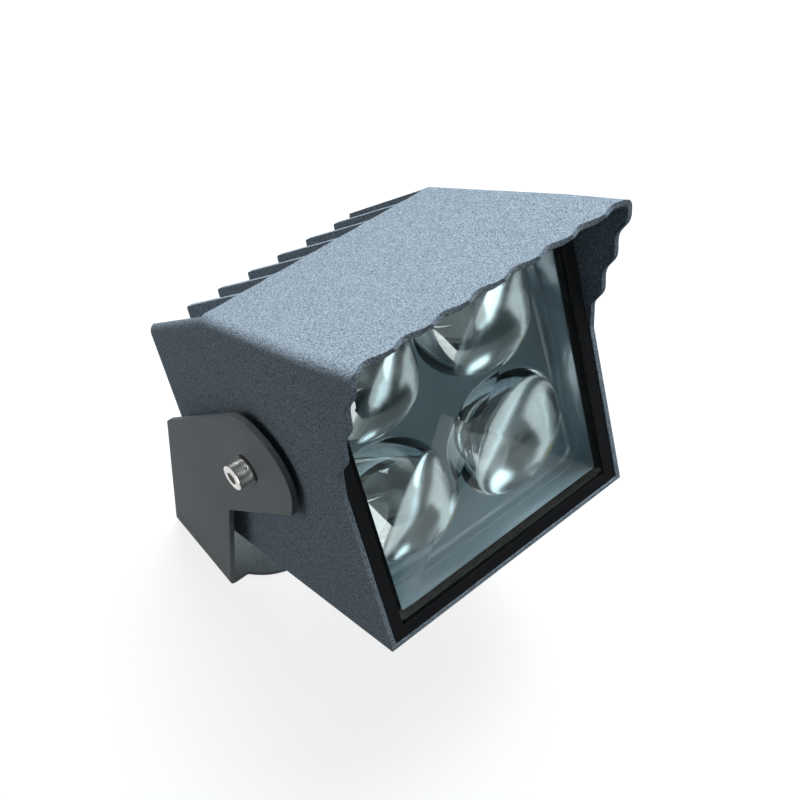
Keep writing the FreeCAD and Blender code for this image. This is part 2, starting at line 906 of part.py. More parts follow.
def make_tilt_screws():
    """Socket-head screws through the bracket's arms into the head's bosses."""
    screws = []
    for side in (-1, 1):
        seat = arm_outer_x + washer_thickness
        head = rod_x(bolt_head_r, pivot_y, pivot_z, side * seat, side * (seat + bolt_head_height))
        face_x = side * (seat + bolt_head_height)
        rim = [edge for edge in head.Edges if abs(edge.CenterOfMass.x - face_x) < 1e-6]
        head = head.makeFillet(bolt_chamfer, rim)
        shank = rod_x(bolt_r, pivot_y, pivot_z, side * (arm_inner_x - bolt_engagement), side * seat)
        socket = hexagon(bolt_hex_across, bolt_hex_depth, vec(face_x, pivot_y, pivot_z), vec(-side, 0, 0))
        screws.append(head.fuse(shank).cut(socket))
    return Part.makeCompound(screws)


def make_tilt_washers():
    washers = []
    for side in (-1, 1):
        face_x = arm_outer_x + washer_thickness
        disc = rod_x(washer_r, pivot_y, pivot_z, side * arm_outer_x, side * face_x)
        hole_end = face_x + 1
        hole = rod_x(bolt_r + pivot_clearance, pivot_y, pivot_z, side * arm_inner_x, side * hole_end)
        washers.append(disc.cut(hole))
    return Part.makeCompound(washers)


def arm_outline():
    """Side outline of an arm in the standing frame, and its corner radii."""
    rear = foot_depth / 2
    front = -foot_depth / 2
    pivot_back = -foot_centre_back
    slope = math.tan(math.radians(arm_slope_deg))
    shoulder_z = pivot_height - arm_shoulder_drop
    crown_z = pivot_height + arm_top_rise
    nose_y = pivot_back - arm_front_reach
    limb_width = foot_depth
    crown_y = rear - (crown_z - shoulder_z) / slope
    limb_rise = limb_width / math.cos(math.radians(arm_slope_deg))
    crotch_z = shoulder_z + slope * limb_width - limb_rise
    chin_z = crotch_z + slope * (front - nose_y)
    corners = [
        (rear, 0),
        (rear, shoulder_z),
        (crown_y, crown_z),
        (nose_y, crown_z),
        (nose_y, chin_z),
        (front, crotch_z),
        (front, 0),
    ]
    radii = [0, arm_shoulder_round, arm_crown_round, arm_nose_round, arm_chin_round, arm_crotch_round, 0]
    return corners, radii


def bracket_foot():
    """Foot plate: a strip between the arms that widens into an oblong pad."""
    strip = block(-arm_outer_x, arm_outer_x, -foot_depth / 2, foot_depth / 2, 0, plate)
    pads = [rod_z(pad_round, side * pad_centre_x, 0, 0, plate) for side in (-1, 1)]
    bar = block(-pad_centre_x, pad_centre_x, -pad_round, pad_round, 0, plate)
    foot = fuse_all([strip, bar] + pads)

    def notch(edge):
        middle = edge.CenterOfMass
        upright = edge.Length < plate + 0.1 and abs(middle.z - plate / 2) < 0.1
        at_strip = abs(abs(middle.y) - foot_depth / 2) < 0.1
        return upright and at_strip and abs(middle.x) < arm_inner_x - bend_round

    return round_edges(foot, pad_notch_round, notch)


def make_bracket():
    corners, radii = arm_outline()
    arms = [side_prism(corners, radii, side * arm_inner_x, side * arm_outer_x) for side in (-1, 1)]
    bracket = fuse_all([bracket_foot()] + arms)

    def outer_bend(edge):
        middle = edge.CenterOfMass
        return abs(abs(middle.x) - arm_outer_x) < 0.01 and abs(middle.z) < 0.01

    def inner_bend(edge):
        middle = edge.CenterOfMass
        return abs(abs(middle.x) - arm_inner_x) < 0.01 and abs(middle.z - plate) < 0.01

    bracket = round_edges(bracket, bend_round, outer_bend)
    bracket = round_edges(bracket, bend_round - plate, inner_bend)
    hole = rod_x(bolt_r + pivot_clearance, -foot_centre_back, pivot_height, -far, far)
    foot_holes = [rod_z(foot_hole_r, 0, 0, -1, plate + 1)]
    foot_holes += [rod_z(foot_side_hole_r, side * foot_side_hole_x, 0, -1, plate + 1) for side in (-1, 1)]
    return bracket.cut([hole] + foot_holes)


def place_head(shape):
    """Put a piece of the head on the tilt axis and tilt it back to its rest."""
    placed = shape.copy()
    placed.translate(vec(0, -pivot_y, -pivot_z))
    placed.rotate(vec(0, 0, 0), vec(1, 0, 0), -tilt_deg)
    placed.translate(vec(0, -foot_centre_back, pivot_height))
    return placed


def head_pieces():
    """Every piece that tilts, by name, in the head's own frame."""
    driver_seat = base_back_y + driver_lug_thickness
    pieces = {
        "housing": make_housing(),
        "front_glass": make_glass(),
        "glass_border": make_glass_border(),
        "glass_seal": make_glass_seal(),
        "reflector_tray": make_tray(),
        "tray_screws": make_tray_screws(),
        "led_board": make_board(),
        "board_screws": pan_screws(board_screw_places(), board_y, 1, small_screw_grip),
        "led_wires": make_wires(),
        "driver": make_driver(),
        "driver_screws": pan_screws(driver_screw_places(), driver_seat, -1, small_screw_grip),
        "rear_cover": make_rear_cover(),
        "cover_seal": make_cover_seal(),
        "cover_screws": pan_screws(cover_screw_places(), cover_back_y, -1, cover_screw_grip),
        "gland_body": make_gland_body(),
        "gland_nut": make_gland_nut(),
        "gland_seal": make_gland_seal(),
        "gland_lock_nut": make_gland_lock_nut(),
        "tilt_screws": make_tilt_screws(),
        "tilt_washers": make_tilt_washers(),
    }
    cup = make_cup()
    lens = make_lens()
    for index, (x, z) in enumerate(optic_places(), 1):
        for name, shape in (("reflector", cup), ("lens", lens)):
            placed = shape.copy()
            placed.translate(vec(x, cup_front_y, z))
            pieces["%s_%d" % (name, index)] = placed
        pieces["led_chip_%d" % index] = make_chip(x, z)
    return pieces


def main():
    os.makedirs("parts", exist_ok=True)
    pieces = {name: place_head(shape) for name, shape in head_pieces().items()}
    pieces["u_bracket"] = make_bracket()
    for name, shape in pieces.items():
        shape.exportStep(os.path.join("parts", name + ".step"))
        print("%-16s solids %2d volume %9.1f" % (name, len(shape.Solids), shape.Volume))


main()
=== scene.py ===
"""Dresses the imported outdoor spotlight: optics, screws, glass and finishes, then light and camera.

Lengths are metres. A piece of the head is modelled in the head's own frame, with its origin in the
middle of the bottom edge of the front rim, y to the rear and z up, and HEAD puts it in its place.
"""

import logging
import math
from collections.abc import Callable, Iterable
from dataclasses import dataclass, field
from enum import Enum

import bmesh
import bpy
from mathutils import Matrix, Vector


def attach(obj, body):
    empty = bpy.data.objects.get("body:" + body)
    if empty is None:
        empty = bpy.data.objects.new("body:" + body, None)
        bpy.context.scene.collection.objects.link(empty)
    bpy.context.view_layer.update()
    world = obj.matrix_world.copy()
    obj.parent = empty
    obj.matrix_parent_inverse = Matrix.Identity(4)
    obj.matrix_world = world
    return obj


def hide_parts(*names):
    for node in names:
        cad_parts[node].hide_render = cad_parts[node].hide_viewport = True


LOG = logging.getLogger("spotlight")

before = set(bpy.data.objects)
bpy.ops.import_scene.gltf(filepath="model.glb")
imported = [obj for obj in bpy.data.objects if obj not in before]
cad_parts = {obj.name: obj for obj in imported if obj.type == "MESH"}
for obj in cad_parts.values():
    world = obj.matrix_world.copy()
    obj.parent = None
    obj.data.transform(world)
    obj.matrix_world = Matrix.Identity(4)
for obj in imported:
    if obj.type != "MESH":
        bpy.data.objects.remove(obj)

TILT = math.radians(29.5)
PIVOT_IN_HEAD = Vector((0.0, 0.0772, 0.0743))
PIVOT = Vector((0.0, -0.042, 0.152))
HEAD = Matrix.Translation(PIVOT) @ Matrix.Rotation(-TILT, 4, "X") @ Matrix.Translation(-PIVOT_IN_HEAD)

Colour = tuple[float, float, float, float]
Point = tuple[float, float]


class Body(Enum):
    """The two bodies that the tilt joint connects."""

    BRACKET = "bracket"
    HEAD = "head"


class Slot(Enum):
    """Material slots of the record."""

    CASTING = "casting_paint"
    BRACKET = "bracket_paint"
    GLASS = "clear_glass"
    INK = "border_ink"
    SEAL = "seal_rubber"
    TRAY = "tray_coat"
    MIRROR = "mirror_coat"
    STAINLESS = "stainless"
    BLACK_STEEL = "black_steel"
    BOARD = "board_metal"
    PHOSPHOR = "chip_phosphor"
    DRIVER = "driver_case"
    GLAND = "gland_plastic"
    WIRE = "wire_sleeve"


def rgb(red: float, green: float, blue: float) -> Colour:
    """Opaque linear colour."""
    return (red, green, blue, 1.0)


class Graph:
    """Short hand for adding and joining the nodes of one tree."""

    def __init__(self, tree: bpy.types.NodeTree) -> None:
        """Wraps a node tree.

        Args:
            tree: The tree that gets the nodes.
        """
        self.tree = tree

    def add(self, kind: str, **values: object) -> bpy.types.Node:
        """Adds a node.

        Args:
            kind: The node's type without its ShaderNode prefix, or the full name of another type.
            **values: Properties of the node, or values of its inputs with underscores for spaces.

        Returns:
            The new node.
        """
        full = kind if kind.startswith("Node") else "ShaderNode" + kind
        node = self.tree.nodes.new(full)
        for key, value in values.items():
            if hasattr(node, key):
                setattr(node, key, value)
            else:
                self.put(node, key.replace("_", " "), value)
        return node

    def put(self, node: bpy.types.Node, name: str | int, value: object) -> None:
        """Sets an input to a value, or joins a socket to it.

        Args:
            node: The node that has the input.
            name: The input's name or index.
            value: A number, a colour or an output socket.
        """
        if isinstance(value, bpy.types.NodeSocket):
            self.tree.links.new(value, node.inputs[name])
        else:
            node.inputs[name].default_value = value

    def math(self, operation: str, first: object, second: object = 0.0) -> bpy.types.NodeSocket:
        """Adds a Math node.

        Args:
            operation: The node's operation.
            first: Number or socket for its first input.
            second: Number or socket for its second input.

        Returns:
            The result's socket.
        """
        node = self.add("Math", operation=operation)
        self.put(node, 0, first)
        self.put(node, 1, second)
        return node.outputs[0]

    def mix(self, factor: object, first: object, second: object) -> bpy.types.NodeSocket:
        """Blends two colours.

        Args:
            factor: Number or socket, 0 for the first colour.
            first: Colour or socket.
            second: Colour or socket.

        Returns:
            The blended colour's socket.
        """
        node = self.add("Mix", data_type="RGBA")
        self.put(node, 0, factor)
        self.put(node, 6, first)
        self.put(node, 7, second)
        return node.outputs[2]

    def steps(self, value: object, low: float, high: float) -> bpy.types.NodeSocket:
        """Stretches a value from low..high to 0..1 with soft ends.

        Args:
            value: The socket to stretch.
            low: The value that gives 0.
            high: The value that gives 1.

        Returns:
            The stretched value's socket.
        """
        node = self.add("MapRange", interpolation_type="SMOOTHSTEP")
        self.put(node, 0, value)
        self.put(node, 1, low)
        self.put(node, 2, high)
        return node.outputs[0]


@dataclass
class SharedEffects:
    """Node groups that several finishes use, each built once."""

    coarse_share: float = 0.62
    fine_scale: float = 2.3
    grain_edges: tuple[float, float] = (0.36, 0.64)
    patch_scale: float = 14.0
    patch_edges: tuple[float, float] = (0.35, 0.7)
    smudge_scale: float = 140.0
    smudge_edges: tuple[float, float] = (0.3, 0.75)
    grit_scale: float = 600.0
    grit_share: float = 2.0
    ring_turns: float = 9000.0
    made: dict[str, bpy.types.NodeTree] = field(default_factory=dict)

    def group(self, name: str, sockets: dict[str, tuple[str, object]], results: dict[str, str],
              fill: Callable[[Graph, bpy.types.Node, bpy.types.Node], None]) -> bpy.types.NodeTree:
        """Makes a node group the first time it is asked for.

        Args:
            name: The group's name.
            sockets: Inputs by name, each with its socket type and default.
            results: Outputs by name with their socket types.
            fill: Adds the group's nodes between its input and output nodes.

        Returns:
            The node group.
        """
        if name not in self.made:
            tree = bpy.data.node_groups.new(name, "ShaderNodeTree")
            for key, (kind, default) in sockets.items():
                socket = tree.interface.new_socket(key, in_out="INPUT", socket_type=kind)
                if default is not None:
                    socket.default_value = default
            for key, kind in results.items():
                tree.interface.new_socket(key, in_out="OUTPUT", socket_type=kind)
            graph = Graph(tree)
            fill(graph, graph.add("NodeGroupInput"), graph.add("NodeGroupOutput"))
            self.made[name] = tree
        return self.made[name]

    def sand_grain(self) -> bpy.types.NodeTree:
        """Rough grains of a sand-textured coat, as a speckled colour and a height; the colour paints shade
        into the low grains and light onto the high ones.

        Returns:
            The node group.
        """

        def fill(graph: Graph, given: bpy.types.Node, out: bpy.types.Node) -> None:
            """Joins coarse and fine grains, and paints the low ones dark as shade and the high ones light.

            Args:
                graph: The group's graph.
                given: The group's input node.
                out: The group's output node.
            """
            coarse = graph.add("TexNoise", Vector=given.outputs["Vector"], Detail=2.0, Roughness=0.6)
            graph.put(coarse, "Scale", given.outputs["Grains"])
            fine = graph.add("TexNoise", Vector=given.outputs["Vector"], Detail=1.0, Roughness=0.5)
            graph.put(fine, "Scale", graph.math("MULTIPLY", given.outputs["Grains"], self.fine_scale))
            both = graph.math("ADD", graph.math("MULTIPLY", coarse.outputs[0], self.coarse_share),
                              graph.math("MULTIPLY", fine.outputs[0], 1.0 - self.coarse_share))
            lit = graph.steps(both, *self.grain_edges)
            # Painted shade and light: the grain's low points take the dark hollow colour and its high
            # points the light crest colour.
            colour = graph.mix(lit, given.outputs["Painted Shade Hollow"], given.outputs["Painted Light Crest"])
            graph.put(out, "Colour", colour)
            graph.put(out, "Height", both)

        return self.group(
            "sand grain",
            {"Vector": ("NodeSocketVector", None), "Grains": ("NodeSocketFloat", 800.0),
             "Painted Shade Hollow": ("NodeSocketColor", rgb(0.1, 0.1, 0.1)),
             "Painted Light Crest": ("NodeSocketColor", rgb(0.3, 0.3, 0.3))},
            {"Colour": "NodeSocketColor", "Height": "NodeSocketFloat"}, fill)

    def handling(self) -> bpy.types.NodeTree:
        """Broad faint patches of dust and handling, as a mask from 0 to 1.

        Returns:
            The node group.
        """

        def fill(graph: Graph, given: bpy.types.Node, out: bpy.types.Node) -> None:
            """Breaks broad patches up with small smudges.

            Args:
                graph: The group's graph.
                given: The group's input node.
                out: The group's output node.
            """
            place = given.outputs["Vector"]
            broad = graph.add("TexNoise", Vector=place, Scale=self.patch_scale, Detail=4.0)
            small = graph.add("TexNoise", Vector=place, Scale=self.smudge_scale, Detail=3.0)
            mask = graph.math("MULTIPLY", graph.steps(broad.outputs[0], *self.patch_edges),
                              graph.steps(small.outputs[0], *self.smudge_edges))
            graph.put(out, "Mask", mask)

        return self.group("handling", {"Vector": ("NodeSocketVector", None)},
                          {"Mask": "NodeSocketFloat"}, fill)

    def turned_rings(self) -> bpy.types.NodeTree:
        """Fine lathe rings about an axis along X through a point, as a height.

        Returns:
            The node group.
        """

        def fill(graph: Graph, given: bpy.types.Node, out: bpy.types.Node) -> None:
            """Waves the distance from the axis.

            Args:
                graph: The group's graph.
                given: The group's input node.
                out: The group's output node.
            """
            offset = graph.add("VectorMath", operation="SUBTRACT")
            graph.put(offset, 0, given.outputs["Vector"])
            graph.put(offset, 1, given.outputs["Centre"])
            flat = graph.add("VectorMath", operation="MULTIPLY")
            graph.put(flat, 0, offset.outputs[0])
            graph.put(flat, 1, (0.0, 1.0, 1.0))
            reach = graph.add("VectorMath", operation="LENGTH")
            graph.put(reach, 0, flat.outputs[0])
            grit = graph.add("TexNoise", Vector=given.outputs["Vector"], Scale=self.grit_scale, Detail=2.0)
            turns = graph.math("MULTIPLY", reach.outputs["Value"], self.ring_turns)
            shaken = graph.math("ADD", turns, graph.math("MULTIPLY", grit.outputs[0], self.grit_share))
            waved = graph.math("SINE", shaken)
            graph.put(out, "Height", waved)

        return self.group("turned rings",
                          {"Vector": ("NodeSocketVector", None), "Centre": ("NodeSocketVector", None)},
                          {"Height": "NodeSocketFloat"}, fill)


EFFECTS = SharedEffects()


def new_material(name: str) -> tuple[bpy.types.Material, Graph, bpy.types.Node, bpy.types.NodeSocket]:
    """Starts a material with its output and its Object coordinates.

    Args:
        name: The material's name.

    Returns:
        The material, its graph, its output node and the socket of its Object coordinates.
    """
    material = bpy.data.materials.new(name)
    material.use_nodes = True
    material.node_tree.nodes.clear()
    graph = Graph(material.node_tree)
    out = graph.add("OutputMaterial")
    place = graph.add("TexCoord")
    return material, graph, out, place.outputs["Object"]


def use_group(graph: Graph, tree: bpy.types.NodeTree, place: bpy.types.NodeSocket) -> bpy.types.Node:
    """Places a shared node group and gives it the coordinates.

    Args:
        graph: The material's graph.
        tree: The node group.
        place: The coordinates' socket.

    Returns:
        The group's node.
    """
    node = graph.add("Group", node_tree=tree)
    graph.put(node, "Vector", place)
    return node


@dataclass(frozen=True)
class SandCoat:
    """Powder coat with a sand texture over softly rounded edges, with the light and shade of its grains
    painted into the colour.
    """

    name: str
    slot: Slot
    painted_light_crest: Colour
    painted_shade_hollow: Colour
    dust: Colour
    grains: float
    depth: float
    rounding: float
    roughness: float = 0.7
    gloss: float = 0.02
    dust_share: float = 0.14
    dust_roughness: float = 0.12

    def material(self) -> bpy.types.Material:
        """Builds the coat's material.

        Returns:
            The material.
        """
        material, graph, out, place = new_material(self.name)
        grain = use_group(graph, EFFECTS.sand_grain(), place)
        graph.put(grain, "Grains", self.grains)
        # Painted shade colour for the grains' hollows and painted light colour for their crests.
        graph.put(grain, "Painted Shade Hollow", self.painted_shade_hollow)
        graph.put(grain, "Painted Light Crest", self.painted_light_crest)
        dusty = use_group(graph, EFFECTS.handling(), place)
        settled = graph.math("MULTIPLY", dusty.outputs["Mask"], self.dust_share)
        colour = graph.mix(settled, grain.outputs["Colour"], self.dust)
        edge = graph.add("Bevel", samples=4, Radius=self.rounding)
        bump = graph.add("Bump", Strength=1.0, Distance=self.depth, Height=grain.outputs["Height"])
        graph.put(bump, "Normal", edge.outputs[0])
        duller = graph.math("MULTIPLY", dusty.outputs["Mask"], self.dust_roughness)
        rough = graph.math("ADD", duller, self.roughness)
        shader = graph.add("BsdfPrincipled", Base_Color=colour, Roughness=rough,
                           Normal=bump.outputs[0])
        graph.put(shader, "Specular IOR Level", self.gloss)
        graph.put(out, "Surface", shader.outputs[0])
        return material


@dataclass(frozen=True)
class Moulding:
    """Moulded plastic, lacquer or rubber with a faint grain."""

    name: str
    slot: Slot
    colour: Colour
    shade: Colour
    roughness: float
    grain: float = 900.0
    depth: float = 0.00002
    coat: float = 0.0
    gloss: float = 0.5
    rounding: float = 0.0003
    flow_scale: float = 22.0
    flow_edges: tuple[float, float] = (0.35, 0.65)
    worn_roughness: float = 0.1
    coat_roughness: float = 0.12

    def material(self) -> bpy.types.Material:
        """Builds the moulding's material.

        Returns:
            The material.
        """
        material, graph, out, place = new_material(self.name)
        fine = graph.add("TexNoise", Vector=place, Scale=self.grain, Detail=2.0)
        flow = graph.add("TexNoise", Vector=place, Scale=self.flow_scale, Detail=3.0)
        handled = use_group(graph, EFFECTS.handling(), place)
        colour = graph.mix(graph.steps(flow.outputs[0], *self.flow_edges), self.shade, self.colour)
        edge = graph.add("Bevel", samples=4, Radius=self.rounding)
        bump = graph.add("Bump", Strength=1.0, Distance=self.depth, Height=fine.outputs[0])
        graph.put(bump, "Normal", edge.outputs[0])
        worn = graph.math("MULTIPLY", handled.outputs["Mask"], self.worn_roughness)
        rough = graph.math("ADD", worn, self.roughness)
        shader = graph.add("BsdfPrincipled", Base_Color=colour, Roughness=rough,
                           Normal=bump.outputs[0])
        graph.put(shader, "Specular IOR Level", self.gloss)
        graph.put(shader, "Coat Weight", self.coat)
        graph.put(shader, "Coat Roughness", self.coat_roughness)
        graph.put(out, "Surface", shader.outputs[0])
        return material


@dataclass(frozen=True)
class Turned:
    """Turned or rolled metal with fine lathe rings about the tilt axis."""

    name: str
    slot: Slot
    colour: Colour
    shade: Colour
    roughness: float
    metallic: float = 1.0
    ring_depth: float = 0.000004
    stain_scale: float = 260.0
    stain_edges: tuple[float, float] = (0.4, 0.7)
    worn_roughness: float = 0.14

    def material(self) -> bpy.types.Material:
        """Builds the metal's material.

        Returns:
            The material.
        """
        material, graph, out, place = new_material(self.name)
        rings = use_group(graph, EFFECTS.turned_rings(), place)
        graph.put(rings, "Centre", tuple(PIVOT))
        handled = use_group(graph, EFFECTS.handling(), place)
        stain = graph.add("TexNoise", Vector=place, Scale=self.stain_scale, Detail=4.0)
        colour = graph.mix(graph.steps(stain.outputs[0], *self.stain_edges), self.colour, self.shade)
        bump = graph.add("Bump", Strength=1.0, Distance=self.ring_depth, Height=rings.outputs["Height"])
        worn = graph.math("MULTIPLY", handled.outputs["Mask"], self.worn_roughness)
        rough = graph.math("ADD", worn, self.roughness)
        shader = graph.add("BsdfPrincipled", Base_Color=colour, Roughness=rough, Metallic=self.metallic,
                           Normal=bump.outputs[0])
        graph.put(out, "Surface", shader.outputs[0])
        return material


@dataclass(frozen=True)
class MirrorCoat:
    """Vacuum-metallised mirror with the slight waviness of its moulding."""

    name: str
    slot: Slot
    colour: Colour
    haze: float
    wave_depth: float
    wave_scale: float = 95.0
    ripple_scale: float = 420.0
    ripple_share: float = 0.12
    speck_scale: float = 1600.0
    speck_haze: float = 0.08
    shaded: float = 0.93

    def material(self) -> bpy.types.Material:
        """Builds the mirror's material.

        Returns:
            The material.
        """
        material, graph, out, place = new_material(self.name)
        waves = graph.add("TexNoise", Vector=place, Scale=self.wave_scale, Detail=2.0, Distortion=0.6)
        ripples = graph.add("TexNoise", Vector=place, Scale=self.ripple_scale, Detail=2.0)
        faint = graph.math("MULTIPLY", ripples.outputs[0], self.ripple_share)
        height = graph.math("ADD", waves.outputs[0], faint)
        bump = graph.add("Bump", Strength=1.0, Distance=self.wave_depth, Height=height)
        specks = graph.add("TexNoise", Vector=place, Scale=self.speck_scale, Detail=1.0)
        dull = graph.math("MULTIPLY", graph.steps(specks.outputs[0], 0.6, 0.8), self.speck_haze)
        rough = graph.math("ADD", dull, self.haze)
        tint = graph.mix(graph.steps(waves.outputs[0], 0.3, 0.7), self.colour,
                         rgb(*(self.shaded * part for part in self.colour[:3])))
        shader = graph.add("BsdfPrincipled", Base_Color=tint, Metallic=1.0, Roughness=rough,
                           Normal=bump.outputs[0])
        graph.put(out, "Surface", shader.outputs[0])
        return material


@dataclass(frozen=True)
class ClearPane:
    """Clear glass that lets the lamps through to what is behind it."""

    name: str
    slot: Slot
    tint: Colour
    smear_roughness: float = 0.035
    ior: float = 1.5

    def material(self) -> bpy.types.Material:
        """Builds the glass's material.

        Returns:
            The material.
        """
        material, graph, out, place = new_material(self.name)
        smear = use_group(graph, EFFECTS.handling(), place)
        rough = graph.math("MULTIPLY", smear.outputs["Mask"], self.smear_roughness)
        glass = graph.add("BsdfPrincipled", Base_Color=self.tint, Roughness=rough, IOR=self.ior)
        graph.put(glass, "Transmission Weight", 1.0)
        through = graph.add("BsdfTransparent", Color=self.tint)
        ray = graph.add("LightPath")
        passing = graph.math("MAXIMUM", ray.outputs["Is Shadow Ray"], ray.outputs["Is Diffuse Ray"])
        pane = graph.add("MixShader")
        graph.put(pane, 0, passing)
        graph.put(pane, 1, glass.outputs[0])
        graph.put(pane, 2, through.outputs[0])
        graph.put(out, "Surface", pane.outputs[0])
        return material


@dataclass(frozen=True)
class BoardMask:
    """Solder mask over copper tracks on a metal-core board."""

    name: str
    slot: Slot
    mask: Colour
    track: Colour
    block_scale: float = 46.0
    track_width: float = 0.012
    mask_depth: float = 0.00003
    shaded: float = 0.94
    roughness: float = 0.32
    worn_roughness: float = 0.15

    def material(self) -> bpy.types.Material:
        """Builds the board's material.

        Returns:
            The material.
        """
        material, graph, out, place = new_material(self.name)
        bricks = graph.add("TexBrick", Scale=self.block_scale, Vector=place)
        graph.put(bricks, "Mortar Size", self.track_width)
        graph.put(bricks, "Color1", self.mask)
        graph.put(bricks, "Color2", rgb(*(self.shaded * part for part in self.mask[:3])))
        graph.put(bricks, "Mortar", self.track)
        bump = graph.add("Bump", Strength=1.0, Distance=self.mask_depth, Height=bricks.outputs["Fac"])
        handled = use_group(graph, EFFECTS.handling(), place)
        worn = graph.math("MULTIPLY", handled.outputs["Mask"], self.worn_roughness)
        rough = graph.math("ADD", worn, self.roughness)
        shader = graph.add("BsdfPrincipled", Base_Color=bricks.outputs["Color"], Roughness=rough,
                           Normal=bump.outputs[0])
        graph.put(out, "Surface", shader.outputs[0])
        return material


@dataclass(frozen=True)
class PairedSleeves:
    """Silicone sleeves of two leads, one colour each side of the middle."""

    name: str
    slot: Slot
    left: Colour
    right: Colour
    skin_scale: float = 1500.0
    skin_depth: float = 0.00001
    roughness: float = 0.42

    def material(self) -> bpy.types.Material:
        """Builds the sleeves' material.

        Returns:
            The material.
        """
        material, graph, out, place = new_material(self.name)
        parts = graph.add("SeparateXYZ", Vector=place)
        side = graph.math("GREATER_THAN", parts.outputs["X"], 0.0)
        skin = graph.add("TexNoise", Vector=place, Scale=self.skin_scale, Detail=2.0)
        colour = graph.mix(side, self.left, self.right)
        bump = graph.add("Bump", Strength=1.0, Distance=self.skin_depth, Height=skin.outputs[0])
        shader = graph.add("BsdfPrincipled", Base_Color=colour, Roughness=self.roughness,
                           Normal=bump.outputs[0])
        graph.put(out, "Surface", shader.outputs[0])
        return material


# The crest and hollow colours are painted light on the sand grains' crests and painted shade in their
# hollows.
CASTING = SandCoat("casting coat", Slot.CASTING, painted_light_crest=rgb(0.41, 0.47, 0.53),
                   painted_shade_hollow=rgb(0.075, 0.095, 0.115), dust=rgb(0.40, 0.45, 0.49),
                   grains=1400.0, depth=0.00014, rounding=0.0006)
BRACKET = SandCoat("bracket coat", Slot.BRACKET, painted_light_crest=rgb(0.215, 0.235, 0.24),
                   painted_shade_hollow=rgb(0.155, 0.17, 0.172), dust=rgb(0.3, 0.31, 0.3),
                   grains=1100.0, depth=0.0001, rounding=0.0009, roughness=0.5, gloss=0.06)
TRAY = Moulding("tray lacquer", Slot.TRAY, colour=rgb(0.31, 0.395, 0.455),
                shade=rgb(0.27, 0.345, 0.395), roughness=0.3, coat=0.5, rounding=0.0008)
INK = Moulding("border print", Slot.INK, colour=rgb(0.004, 0.0045, 0.005), shade=rgb(0.006, 0.0065, 0.007),
               roughness=0.35, gloss=0.2)
SEAL = Moulding("seal rubber", Slot.SEAL, colour=rgb(0.006, 0.006, 0.007), shade=rgb(0.009, 0.009, 0.01),
                roughness=0.7, grain=1400.0, depth=0.00004, gloss=0.1)
NYLON = Moulding("gland nylon", Slot.GLAND, colour=rgb(0.02, 0.02, 0.021), shade=rgb(0.028, 0.028, 0.03),
                 roughness=0.42, depth=0.00003)
DRIVER = Moulding("driver case", Slot.DRIVER, colour=rgb(0.035, 0.035, 0.038), shade=rgb(0.05, 0.05, 0.052),
                  roughness=0.55, depth=0.00005)
CARRIER = Moulding("chip carrier", Slot.PHOSPHOR, colour=rgb(0.74, 0.75, 0.74), shade=rgb(0.66, 0.67, 0.66),
                   roughness=0.4, rounding=0.0001)
PHOSPHOR = Moulding("phosphor gel", Slot.PHOSPHOR, colour=rgb(0.72, 0.52, 0.09), shade=rgb(0.6, 0.42, 0.06),
                    roughness=0.22, grain=2600.0, depth=0.00004, coat=0.5, rounding=0.0001)
STAINLESS = Turned("stainless", Slot.STAINLESS, colour=rgb(0.66, 0.64, 0.61), shade=rgb(0.5, 0.48, 0.46),
                   roughness=0.24)
BLACK_STEEL = Turned("black steel", Slot.BLACK_STEEL, colour=rgb(0.02, 0.02, 0.021),
                     shade=rgb(0.04, 0.038, 0.036), roughness=0.45, metallic=0.6)
MIRROR = MirrorCoat("mirror coat", Slot.MIRROR, colour=rgb(0.92, 0.94, 0.95), haze=0.16,
                    wave_depth=0.000001)
PANE = ClearPane("clear pane", Slot.GLASS, tint=rgb(0.93, 0.975, 0.965))
LENS = ClearPane("clear lens", Slot.GLASS, tint=rgb(0.93, 0.97, 0.98))
BOARD = BoardMask("solder mask", Slot.BOARD, mask=rgb(0.75, 0.77, 0.76), track=rgb(0.5, 0.52, 0.5))
SLEEVES = PairedSleeves("wire sleeves", Slot.WIRE, left=rgb(0.42, 0.03, 0.025),
                        right=rgb(0.02, 0.02, 0.022))

Finish = SandCoat | Moulding | Turned | MirrorCoat | ClearPane | BoardMask | PairedSleeves


@dataclass
class Workshop:
    """Turns meshes into finished pieces and dresses the nodes that stay."""

    materials: dict[str, bpy.types.Material] = field(default_factory=dict)

    def material(self, finish: Finish) -> bpy.types.Material:
        """Gives a finish's material, built the first time it is asked for.

        Args:
            finish: The finish.

        Returns:
            Its material.
        """
        if finish.name not in self.materials:
            self.materials[finish.name] = finish.material()
        return self.materials[finish.name]

    def dress(self, names: Iterable[str], finish: Finish) -> None:
        """Puts a finish on CAD nodes that stay in view.

        Args:
            names: The nodes.
            finish: The finish for all of them.
        """
        for name in names:
            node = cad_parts[name]
            for slot in node.material_slots:
                slot.material = self.material(finish)
            LOG.info("dressed %s with %s", name, finish.name)

    def piece(self, mesh: bmesh.types.BMesh, name: str, finishes: list[Finish], body: Body,
              stands_for: tuple[str, ...] = (), sharp_deg: float = 32.0) -> bpy.types.Object:
        """Makes an object from a finished mesh.

        Args:
            mesh: The mesh in its final place; it is freed.
            name: The object's name.
            finishes: Finishes by the faces' material index.
            body: The body that it rides on.
            stands_for: CAD nodes that it replaces.
            sharp_deg: Edges that turn by more than this stay sharp.

        Returns:
            The object.
        """
        bmesh.ops.remove_doubles(mesh, verts=mesh.verts[:], dist=1e-7)
        bmesh.ops.recalc_face_normals(mesh, faces=mesh.faces[:])
        data = bpy.data.meshes.new(name)
        mesh.to_mesh(data)
        mesh.free()
        data.shade_smooth()
        data.set_sharp_from_angle(angle=math.radians(sharp_deg))
        for finish in finishes:
            data.materials.append(self.material(finish))
        made = bpy.data.objects.new(name, data)
        bpy.context.scene.collection.objects.link(made)
        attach(made, body.value)
        if stands_for:
            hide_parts(*stands_for)
        LOG.info("made %s with %d faces", name, len(data.polygons))
        return made


